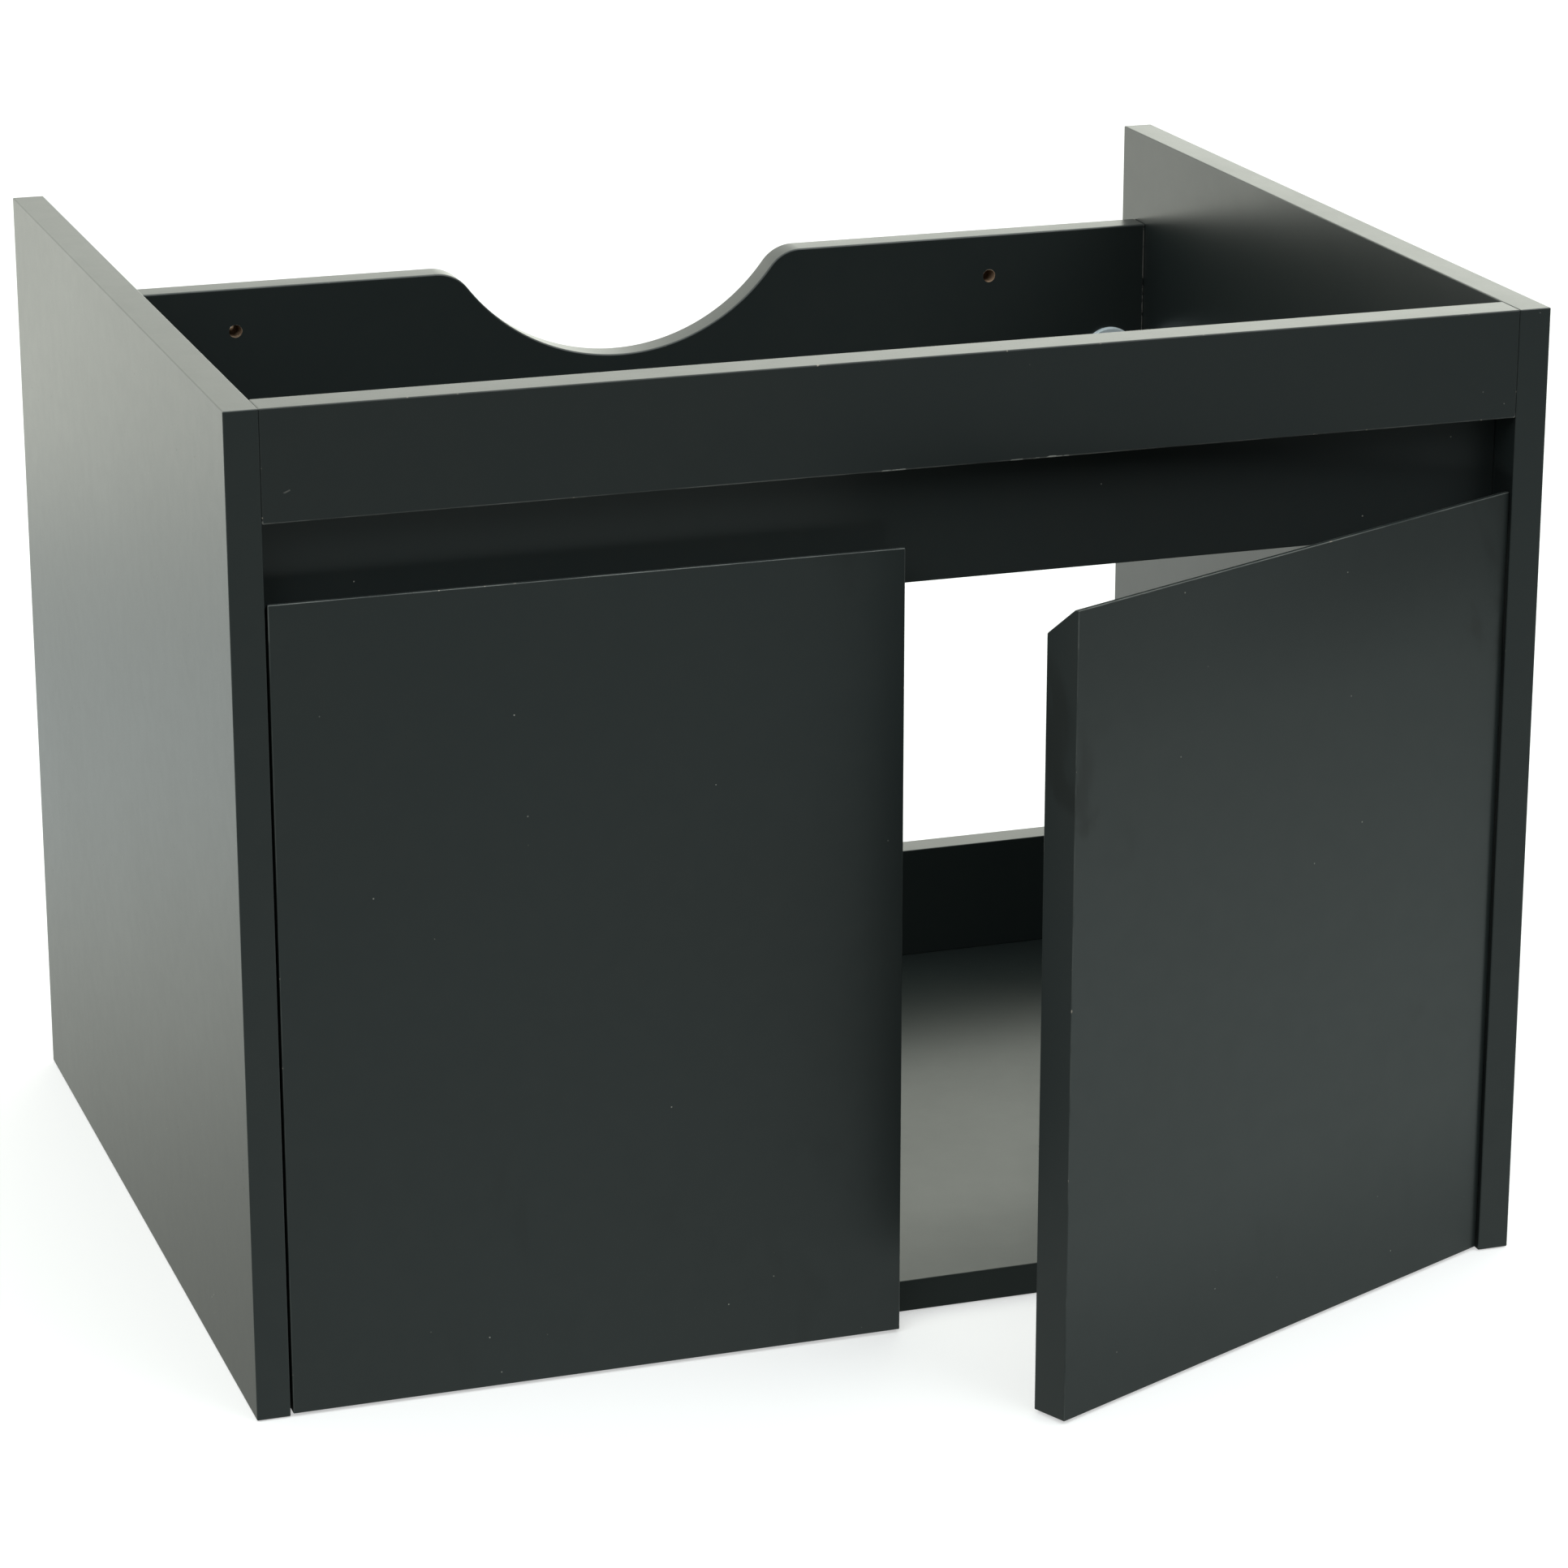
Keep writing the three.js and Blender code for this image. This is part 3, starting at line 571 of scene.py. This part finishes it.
def upper_rail():
    fz = UPPER_Z1 - NOTCH_FILLET
    fx = math.sqrt((NOTCH_R + NOTCH_FILLET) ** 2 - (NOTCH_Z - fz) ** 2)
    half = []
    a0 = math.atan2(fz - NOTCH_Z, fx)
    n1, n2 = 44, 14
    for i in range(n1 + 1):
        a = -math.pi / 2 + (a0 + math.pi / 2) * i / n1
        half.append((NOTCH_R * math.cos(a), NOTCH_Z + NOTCH_R * math.sin(a)))
    b0 = math.atan2(NOTCH_Z - fz, -fx)
    for i in range(1, n2 + 1):
        a = b0 + (math.pi / 2 - b0) * i / n2
        half.append((fx + NOTCH_FILLET * math.cos(a), fz + NOTCH_FILLET * math.sin(a)))
    pts = [(-x, z) for x, z in reversed(half[1:])] + half + [(IN, UPPER_Z1), (IN, UPPER_Z0), (-IN, UPPER_Z0), (-IN, UPPER_Z1)]
    y0, y1 = Y0 + RAIL_Y1 - T, Y0 + RAIL_Y1
    bm = prism_bm(pts, "y", y0, y1)
    round_edges(bm, 0.9, 3, angle=40.0)
    o = new_obj("rail_upper", bm, M_RAIL)
    tools = []
    for s in (-1, 1):
        tools.append(cyl_bm("y", WALL_HOLE_R, y0 - 2, y0 + 10.5, s * WALL_HOLE_X, WALL_HOLE_Z, 48))
        tools.append(cyl_bm("y", WALL_HOLE_R * 0.5, y0 + 10.0, y1 + 2, s * WALL_HOLE_X, WALL_HOLE_Z, 32))
        tools.append(cyl_bm("y", 12.6, y0 - 2, y0 + 10.9, s * DISC_X, DISC_Z, 64))
    boolean(o, tools)
    sharpen(o)
    arris(o, lambda n: abs(n.y) < 0.02 or abs(n.y) > 0.9995)
    return weighted(o)


place(upper_rail(), "carcass", "board", "back_rail_upper")


# ------------------------------------------------------------------ doors
def turn(t, v):
    c, s = math.cos(t), math.sin(t)
    return (c * v[0] + s * v[1], -s * v[0] + c * v[1])


def door_matrix(side):
    """From the shut door's place to its place at rest."""
    th = math.radians(OPEN_DEG) if side == "right" else 0.0
    s = SIGN[side]
    d = turn(OUTER_TURN * th, (CUP_C[0] - ARM_A[0], CUP_C[1] - ARM_A[1]))
    c = (ARM_A[0] + d[0], ARM_A[1] + d[1])
    to = Matrix.Translation(Vector((WALL_X[side] + s * c[0], Y0 + c[1], 0)) * MM)
    back_ = Matrix.Translation(Vector((-(WALL_X[side] + s * CUP_C[0]), -(Y0 + CUP_C[1]), 0)) * MM)
    return to @ Matrix.Rotation(-s * th, 4, "Z") @ back_


def keep_paint_frame(o):
    """Stores each point's place on the shut door, which the paint is laid out in."""
    me = o.data
    at = me.attributes.new("paint_at", "FLOAT_VECTOR", "POINT")
    co = [0.0] * (3 * len(me.vertices))
    me.vertices.foreach_get("co", co)
    at.data.foreach_set("vector", co)
    return o


def put(o, m):
    """Moves the mesh itself, so the object stays at the origin."""
    o.data.transform(m)
    o.data.update()
    return o


def door_paint(side):
    s = SIGN[side]
    free = WALL_X[side] + s * (DOOR_GAP + DOOR_W)
    marks = []
    if side == "right":
        marks = [((free + 1.0, Y0 + 12.0, DOOR_Z1 - 8.0), (free + 1.0, Y0 + 7.0, DOOR_Z1 - 4.0), 0.5, CHIP, 1.0)]
    return board_paint(f"satin_door_{side}", 1.9 if side == "left" else 7.2, (0.290, 0.325) if side == "left" else (0.289, 0.302), 0.75, rubbed_and_highlight_col=(0.150, 0.158, 0.150), rub_and_highlight_low=DOOR_Z1 - 15.0,
                       smudge=1.0, dust_z=60.0, marks=marks, painted_shade=door_edge_painted_shade(side))


def door_edge_painted_shade(side):
    """Painted shade on the hinge-side edge of the leaf, in the door gap."""
    edge_x = abs(WALL_X[side]) - DOOR_GAP + (0.30 if side == "left" else 0.0)
    def f(t, sx):
        ax = math_(t, "ABSOLUTE", sx.outputs["X"])
        groups = [[(ax, edge_x - 0.45, edge_x - 0.05, 0.0, 1.0), (sx.outputs["Y"], Y0 + 0.3, Y0 + 1.0, 0.0, 1.0)]]
        # on the right door, painted shade also on the front face: high up, stronger towards the hinge side, and a
        # little at the bottom
        if side == "right":
            face = (sx.outputs["Y"], Y0 + 0.3, Y0 + 1.0, 1.0, 0.0)
            groups.append([(sx.outputs["Z"], 290.0, 362.0, 0.0, 0.36), (sx.outputs["X"], 60.0, 210.0, 0.35, 1.0), face])
            groups.append([(sx.outputs["Z"], 0.0, 90.0, 0.16, 0.0), face])
        return groups
    return f


def door(side):
    s = SIGN[side]
    X = lambda u: WALL_X[side] + s * u
    z0, z1, t = DOOR_Z0, DOOR_Z1, FRONT
    hinge_edge = DOOR_GAP - (0.30 if side == "left" else 0.0)
    section = [(Y0, z0), (Y0 + t, z0), (Y0 + t, z1 - BEVEL_DROP), (Y0 + DOOR_LAND, z1), (Y0, z1)]
    a, b = sorted((X(hinge_edge), X(DOOR_GAP + DOOR_W)))
    bm = prism_bm(section, "x", a, b)
    round_edges(bm, 0.45, 4, angle=20.0)
    o = new_obj(f"leaf_{side}", bm, door_paint(side))
    tools = []
    for z in HINGE_Z.values():
        tools.append(cyl_bm("y", CUP_BORE, Y0 + CUP_FLOOR - 0.3, Y0 + t + 2, X(DOOR_GAP + CUP_A), z, 72))
    boolean(o, tools)
    sharpen(o, 30.0)
    slope = Vector((0, BEVEL_DROP, t - DOOR_LAND)).normalized()
    arris(o, lambda n: square_on(n) or n.dot(slope) > 0.9995 or (abs(n.y) < 0.02 and abs(n.x) < 0.998 and abs(n.z) < 0.998))
    keep_paint_frame(o)
    weighted(o)
    put(o, door_matrix(side))
    return place(o, f"door_{side}", "board", f"door_{side}")


for side in ("left", "right"):
    door(side)

# ------------------------------------------------------------------ hinges and fittings
def finished(name, body, slot, mat, r, m=None):
    """The node's own solid, with its pressed or moulded edges broken by a small radius."""
    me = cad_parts[name].data.copy()
    me.name = "x" + name
    if m is not None:
        me.transform(m.inverted())
    o = bpy.data.objects.new("x" + name, me)
    coll.objects.link(o)
    me.materials.clear()
    me.materials.append(mat)
    bm = bmesh.new()
    bm.from_mesh(me)
    bmesh.ops.remove_doubles(bm, verts=bm.verts, dist=0.00002)
    bmesh.ops.dissolve_limit(bm, angle_limit=math.radians(1.5), verts=bm.verts, edges=bm.edges)
    if r:
        round_edges(bm, r, 2, angle=38.0)
    bmesh.ops.recalc_face_normals(bm, faces=bm.faces)
    bm.to_mesh(me)
    bm.free()
    sharpen(o, 34.0)
    weighted(o)
    if m is not None:
        put(o, m)
    return place(o, body, slot, name)


def recessed(name, body, facing, m=None, size=1.0):
    """The screw's own mesh with a cross recess cut into its head."""
    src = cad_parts[name]
    me = src.data.copy()
    me.name = "x" + name
    if m is not None:
        me.transform(m.inverted())
    o = bpy.data.objects.new("x" + name, me)
    coll.objects.link(o)
    me.materials.clear()
    me.materials.append(M_SCREW)
    bm = bmesh.new()
    bm.from_mesh(me)
    bmesh.ops.remove_doubles(bm, verts=bm.verts, dist=0.00001)
    bm.to_mesh(me)
    bm.free()
    co = [v.co for v in me.vertices]
    lo = Vector([min(c[i] for c in co) for i in range(3)])
    hi = Vector([max(c[i] for c in co) for i in range(3)])
    f = Vector(facing)
    ax = max(range(3), key=lambda i: abs(f[i]))
    mid = (lo + hi) / 2
    mid[ax] = hi[ax] if f[ax] > 0 else lo[ax]
    turn_to = Vector((0, 0, 1)).rotation_difference(f).to_matrix().to_4x4()
    at = Matrix.Translation(mid) @ turn_to @ Matrix.Rotation(math.radians(18.0 + 47.0 * (len(name) % 3)), 4, "Z")
    tools = []
    for sx_, sy_ in ((3.3 * size, 0.75 * size), (0.75 * size, 3.3 * size)):
        tb = bmesh.new()
        bmesh.ops.create_cube(tb, size=1.0)
        for v in tb.verts:
            k = 0.55 if v.co.z < 0 else 1.0
            v.co = Vector((v.co.x * sx_ * k, v.co.y * sy_ * (0.8 if v.co.z < 0 else 1.0), v.co.z * 2.6 * size)) * MM
        tb.transform(at)
        tools.append(tb)
    cone = bmesh.new()
    bmesh.ops.create_cone(cone, cap_ends=True, segments=16, radius1=0.25 * size * MM, radius2=0.85 * size * MM, depth=3.0 * size * MM)
    cone.transform(at)
    tools.append(cone)
    boolean(o, tools)
    sharpen(o, 30.0)
    weighted(o)
    if m is not None:
        put(o, m)
    return place(o, body, "screw", name)


for side in ("left", "right"):
    s_ = SIGN[side]
    leaf = f"door_{side}"
    for level in HINGE_Z:
        tag = f"{side}_{level}"
        finished(f"hinge_cup_{tag}", leaf, "hinge_cup", M_CUP, 0.18, door_matrix(side))
        finished(f"hinge_arm_{tag}", "carcass", "hinge_steel", M_STEEL, 0.28)
        finished(f"hinge_plate_{tag}", "carcass", "hinge_cup", M_CUP, 0.25)
        finished(f"hinge_outer_link_{tag}", f"outer_links_{side}", "hinge_steel", M_STEEL, 0.2)
        finished(f"hinge_inner_link_{tag}", f"inner_links_{side}", "hinge_steel", M_STEEL, 0.2)
        finished(f"door_bumper_{tag}", leaf, "bumper", M_BUFFER, 0.35, door_matrix(side))
        recessed(f"arm_screw_{tag}", "carcass", (s_, 0, 0), size=1.15)
        for k in ("a", "b"):
            recessed(f"plate_screw_{tag}_{k}", "carcass", (s_, 0, 0))
            recessed(f"cup_screw_{tag}_{k}", leaf, (0, 1, 0), door_matrix(side))
    finished(f"connector_housing_{side}", "carcass", "connector", M_PLASTIC, 0.35)
    finished(f"connector_bolt_{side}", "carcass", "screw", M_SCREW, 0.15)

# ------------------------------------------------------------------ stage and light
def stage():
    bm = bmesh.new()
    bmesh.ops.create_grid(bm, x_segments=1, y_segments=1, size=14.0)
    me = bpy.data.meshes.new("floor")
    bm.to_mesh(me)
    bm.free()
    o = bpy.data.objects.new("floor", me)
    coll.objects.link(o)
    o.location = (0, 0, -0.0006)
    mat = bpy.data.materials.new("floor")
    t = tree(mat)
    out = N(t, "ShaderNodeOutputMaterial")
    add = N(t, "ShaderNodeAddShader")
    dif = N(t, "ShaderNodeBsdfDiffuse")
    dif.inputs["Color"].default_value = (0.55, 0.55, 0.55, 1)
    em = N(t, "ShaderNodeEmission")
    em.inputs["Color"].default_value = (1, 1, 1, 1)
    em.inputs["Strength"].default_value = 0.50
    t.links.new(dif.outputs[0], add.inputs[0])
    t.links.new(em.outputs[0], add.inputs[1])
    t.links.new(add.outputs[0], out.inputs["Surface"])
    me.materials.append(mat)
    o.visible_glossy = False
    o.visible_diffuse = False
    o.visible_transmission = False
    o.visible_shadow = False


stage()

world = bpy.data.worlds.new("studio")
scene.world = world
world.use_nodes = True
wt = world.node_tree
for n in list(wt.nodes):
    wt.nodes.remove(n)
w_out = N(wt, "ShaderNodeOutputWorld")
w_bg = N(wt, "ShaderNodeBackground")
w_cam = N(wt, "ShaderNodeBackground")
w_cam.inputs["Color"].default_value = (1, 1, 1, 1)
w_cam.inputs["Strength"].default_value = 1.0
w_mix = N(wt, "ShaderNodeMixShader")
w_lp = N(wt, "ShaderNodeLightPath")
wt.links.new(w_lp.outputs["Is Camera Ray"], w_mix.inputs[0])
wt.links.new(w_bg.outputs[0], w_mix.inputs[1])
wt.links.new(w_cam.outputs[0], w_mix.inputs[2])
wt.links.new(w_mix.outputs[0], w_out.inputs["Surface"])
w_tc = N(wt, "ShaderNodeTexCoord")
w_sep = N(wt, "ShaderNodeSeparateXYZ")
wt.links.new(w_tc.outputs["Generated"], w_sep.inputs[0])
wx, wy, wz = w_sep.outputs
flat = math_(wt, "SQRT", math_(wt, "SUBTRACT", 1.0, math_(wt, "MULTIPLY", wz, wz)))
flat = math_(wt, "MAXIMUM", flat, 0.02)
cosaz = math_(wt, "DIVIDE", wy, flat)              # 1 straight back, -1 straight front
sinaz = math_(wt, "DIVIDE", wx, flat)              # 1 to the right


def strip(src, lo, hi, stops):
    """Grey or tinted light profile along one direction; stops are (place, strength)."""
    m = ramp(wt, src, lo, hi, kind="LINEAR")
    r = N(wt, "ShaderNodeValToRGB")
    cr = r.color_ramp
    cr.interpolation = "EASE"
    while len(cr.elements) > 1:
        cr.elements.remove(cr.elements[-1])
    for i, (p, v) in enumerate(stops):
        e = cr.elements[0] if i == 0 else cr.elements.new((p - lo) / (hi - lo))
        e.position = (p - lo) / (hi - lo)
        c = v if isinstance(v, tuple) else (v, v, v)
        e.color = (*c, 1.0)
    wt.links.new(m, r.inputs[0])
    return r.outputs[0]


def scale_col(col, fac):
    m = N(wt, "ShaderNodeVectorMath", operation="SCALE")
    wt.links.new(col, m.inputs[0])
    if isinstance(fac, (int, float)):
        m.inputs["Scale"].default_value = fac
    else:
        wt.links.new(fac, m.inputs["Scale"])
    return m.outputs[0]


def add_col(a, b):
    m = N(wt, "ShaderNodeVectorMath", operation="ADD")
    wt.links.new(a, m.inputs[0])
    wt.links.new(b, m.inputs[1])
    return m.outputs[0]


def tint(v, t):
    return tuple(v * c for c in t)


WARM, COOL, DIM, DUSK = (0.970, 1.0, 0.905), (0.915, 1.0, 0.985), (0.885, 1.0, 0.965), (1.0, 1.0, 0.88)
rear = ramp(wt, cosaz, 0.15, 0.80)
# bright backdrop behind the cabinet, dimmer table below it
rear_col = strip(wz, -0.7, 1.0, [
    (-0.60, tint(0.30, WARM)), (-0.41, tint(0.34, WARM)), (-0.375, tint(0.42, WARM)), (-0.345, tint(0.82, WARM)),
    (-0.30, tint(1.02, COOL)), (-0.266, tint(0.62, COOL)), (-0.244, tint(1.48, WARM)), (-0.10, tint(1.42, WARM)),
    (0.20, tint(1.58, WARM)), (0.28, tint(1.24, WARM)), (0.42, tint(1.20, WARM)), (1.0, tint(1.4, WARM))])
spread = strip(sinaz, -1.0, 1.0, [(-1.0, 1.2), (-0.42, 1.2), (-0.20, 1.06), (0.17, 1.04), (0.46, 1.66), (1.0, 1.66)])
rear_col = scale_col(rear_col, math_(wt, "MULTIPLY", rear, spread))
not_rear = math_(wt, "SUBTRACT", 1.0, rear)
# dim room in front, a lit table edge to the right
front_col = strip(wz, -0.7, 1.0, [
    (-0.60, tint(0.36, DIM)), (-0.40, tint(0.60, DIM)), (-0.33, tint(0.54, DIM)), (-0.25, tint(0.04, DUSK)),
    (-0.15, tint(0.02, DUSK)), (0.10, tint(0.06, COOL)), (0.5, tint(0.35, COOL)), (1.0, tint(1.9, COOL))])
front_col = scale_col(front_col, strip(sinaz, -1.0, 1.0, [(-1.0, 1.0), (0.14, 1.0), (0.45, 1.62), (1.0, 1.62)]))
right_col = strip(wz, -0.7, 1.0, [
    (-0.60, tint(0.36, DIM)), (-0.43, tint(0.50, DIM)), (-0.365, tint(1.42, DIM)), (-0.315, tint(1.12, DIM)),
    (-0.266, tint(0.02, DUSK)), (0.10, tint(0.06, COOL)), (0.5, tint(0.3, COOL)), (1.0, tint(1.9, COOL))])
left_col = strip(wz, -0.7, 1.0, [
    (-0.60, tint(0.44, DIM)), (-0.41, tint(0.48, DIM)), (-0.34, tint(0.30, DIM)), (-0.27, tint(0.42, DIM)),
    (0.10, tint(0.36, COOL)), (0.5, tint(0.4, COOL)), (1.0, tint(1.9, COOL))])
right_w = ramp(wt, sinaz, 0.45, 0.85)
left_w = ramp(wt, sinaz, -0.45, -0.85)
front_w = math_(wt, "MULTIPLY", not_rear, math_(wt, "SUBTRACT", 1.0, math_(wt, "ADD", right_w, left_w)))
right_w = math_(wt, "MULTIPLY", not_rear, right_w)
left_w = math_(wt, "MULTIPLY", not_rear, left_w)
total = add_col(add_col(rear_col, scale_col(front_col, front_w)), add_col(scale_col(right_col, right_w), scale_col(left_col, left_w)))
wt.links.new(total, w_bg.inputs["Color"])
w_bg.inputs["Strength"].default_value = 1.0


def softbox(name, at, size, radiance, aim=(0, 0, 0.2), tone=(1.0, 1.0, 1.0)):
    d = bpy.data.lights.new(name, "AREA")
    d.shape = "RECTANGLE"
    d.size, d.size_y = size
    d.energy = radiance * math.pi * size[0] * size[1]
    d.color = tone
    o = bpy.data.objects.new(name, d)
    coll.objects.link(o)
    o.location = at
    o.rotation_euler = (Vector(aim) - Vector(at)).to_track_quat("-Z", "Y").to_euler()
    o.visible_camera = False
    return o


softbox("softbox_right", (1.7, -2.1, 2.3), (2.0, 1.7), 2.7)
softbox("softbox_left", (-1.9, -1.9, 2.3), (2.0, 1.7), 2.3)
